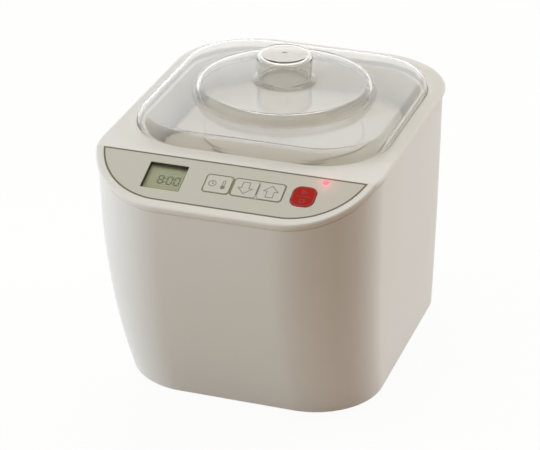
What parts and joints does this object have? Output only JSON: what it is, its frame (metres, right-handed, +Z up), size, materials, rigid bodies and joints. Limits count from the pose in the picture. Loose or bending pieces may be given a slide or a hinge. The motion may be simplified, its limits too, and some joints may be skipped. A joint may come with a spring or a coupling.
{
  "type": "yogurt maker",
  "caption": "Counter-top yogurt maker: tapered white housing with a sloped key panel and screen, heated chamber, lift-out container with its lid, and a clear knobbed outer lid.",
  "frame": {"origin": "on the table under the middle of the machine", "axes": "+Z up, -Y towards the key panel at the front, +X to the right seen from the front"},
  "size_m": [0.25, 0.326, 0.2765],
  "materials": {
    "housing_plastic": "smooth glossy moulded plastic, warm white",
    "cover_plastic": "smooth glossy moulded plastic, warm white",
    "base_plastic": "matt moulded plastic",
    "foot_rubber": "matt rubber",
    "screw_steel": "zinc plated steel",
    "overlay_film": "fine matt printed film, pale olive grey",
    "window_clear": "clear window",
    "display_green": "grey green liquid crystal glass",
    "holder_plastic": "white moulded plastic",
    "board_green": "solder mask",
    "switch_black": "black moulded plastic",
    "chip_black": "black moulded resin",
    "lamp_red": "tinted clear lens",
    "liner_aluminium": "white coated drawn sheet",
    "felt": "needled felt",
    "heater_rubber": "silicone rubber",
    "bar_aluminium": "plain sheet",
    "fuse_metal": "tinned case",
    "transformer_core": "varnished laminations",
    "relay_plastic": "blue moulded case",
    "capacitor_sleeve": "shrink sleeve",
    "inlet_black": "black moulded plastic",
    "pin_brass": "plated pins",
    "container_plastic": "milky food plastic",
    "inner_lid_plastic": "white food plastic",
    "clear_plastic": "clear polished plastic",
    "key_white": "white printed film",
    "key_red": "red printed film"
  },
  "bodies": {
    "housing": {"outer_body": "housing_plastic", "top_cover": "cover_plastic", "base_plate": "base_plastic", "rubber_feet": "foot_rubber", "base_screws": "screw_steel", "panel_overlay": "overlay_film", "screen_window": "window_clear", "display_glass": "display_green", "display_holder": "holder_plastic", "control_board": "board_green", "board_screws": "screw_steel", "key_switches": "switch_black", "status_lamp": "lamp_red", "controller_chip": "chip_black", "buzzer": "switch_black", "lead_socket": "holder_plastic", "chamber_liner": "liner_aluminium", "liner_screws": "screw_steel", "insulation_sleeve": "felt", "heating_mat": "heater_rubber", "heater_bars": "bar_aluminium", "temperature_sensor": "bar_aluminium", "thermal_fuse": "fuse_metal", "power_board": "board_green", "power_board_screws": "screw_steel", "transformer": "transformer_core", "relay": "relay_plastic", "capacitors": "capacitor_sleeve", "power_inlet": "inlet_black", "inlet_pins": "pin_brass"},
    "container": {"inner_container": "container_plastic"},
    "inner_cap": {"inner_lid": "inner_lid_plastic"},
    "clear_lid": {"outer_lid": "clear_plastic", "lid_knob": "clear_plastic"},
    "mode_button": {"mode_key": "key_white"},
    "down_button": {"down_key": "key_white"},
    "up_button": {"up_key": "key_white"},
    "start_stop_button": {"start_stop_key": "key_red"}
  },
  "joints": [
    {"name": "container_lift", "type": "slide", "parent": "housing", "child": "container", "axis": [0, 0, 1], "range_m": [0, 0.2]},
    {"name": "inner_lid_lift", "type": "slide", "parent": "container", "child": "inner_cap", "axis": [0, 0, 1], "range_m": [0, 0.06]},
    {"name": "outer_lid_lift", "type": "slide", "parent": "inner_cap", "child": "clear_lid", "axis": [0, 0, 1], "range_m": [0, 0.08]},
    {"name": "mode_key_press", "type": "slide", "parent": "housing", "child": "mode_button", "axis": [0, 0.3665, -0.9304], "range_m": [0, 0.0005], "stiffness_N_per_m": 1500},
    {"name": "down_key_press", "type": "slide", "parent": "housing", "child": "down_button", "axis": [0, 0.3665, -0.9304], "range_m": [0, 0.0005], "stiffness_N_per_m": 1500},
    {"name": "up_key_press", "type": "slide", "parent": "housing", "child": "up_button", "axis": [0, 0.3665, -0.9304], "range_m": [0, 0.0005], "stiffness_N_per_m": 1500},
    {"name": "start_stop_key_press", "type": "slide", "parent": "housing", "child": "start_stop_button", "axis": [0, 0.3665, -0.9304], "range_m": [0, 0.0005], "stiffness_N_per_m": 1500}
  ]
}
